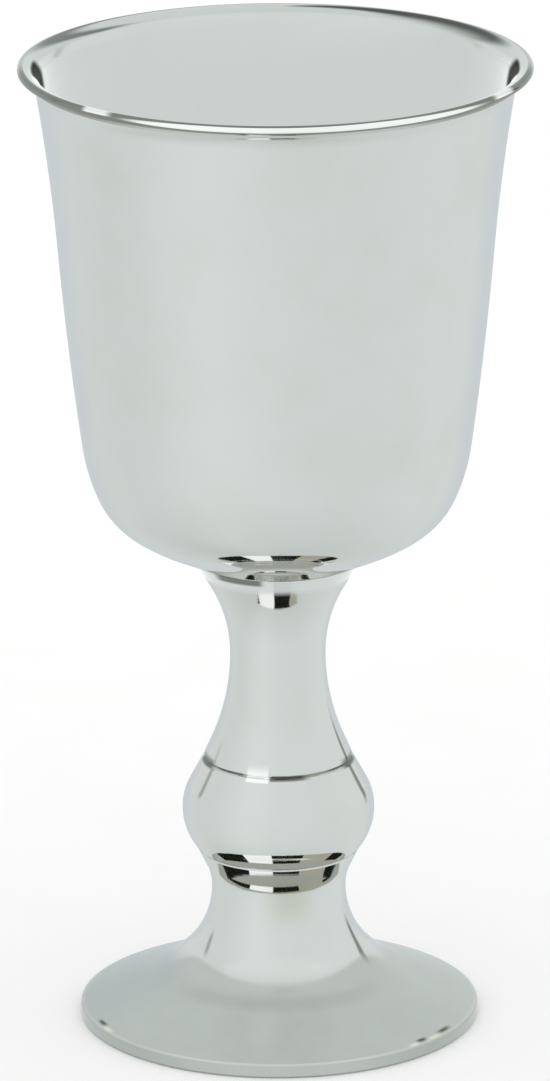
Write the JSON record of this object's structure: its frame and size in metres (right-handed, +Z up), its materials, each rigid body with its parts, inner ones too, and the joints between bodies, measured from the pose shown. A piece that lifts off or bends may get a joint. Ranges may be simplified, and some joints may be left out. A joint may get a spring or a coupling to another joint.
{
  "type": "communion chalice",
  "caption": "Footed metal cup with a flared lip, waisted hollow stem, round knop and trumpet foot, screwed together by a central rod.",
  "frame": {"origin": "centre of the flat underside of the foot's edge ring, on the axis of the chalice", "axes": "+Z up along the axis of revolution, from the foot to the rim; X and Y are equal round directions"},
  "size_m": [0.088, 0.088, 0.1713],
  "materials": {
    "silver_plate": "polished",
    "turned_brass": "satin",
    "zinc_steel": "satin"
  },
  "bodies": {
    "root": {"cup_bowl": "silver_plate", "cup_boss": "turned_brass", "upper_stem": "silver_plate", "stem_locating_disc": "turned_brass", "knop_upper_half": "silver_plate", "knop_lower_half": "silver_plate", "neck_locating_disc": "turned_brass", "foot_shell": "silver_plate", "foot_edge_ring": "silver_plate", "foot_plate": "turned_brass", "tie_rod": "zinc_steel", "base_washer": "zinc_steel", "spring_washer": "zinc_steel", "base_nut": "zinc_steel"}
  },
  "joints": []
}
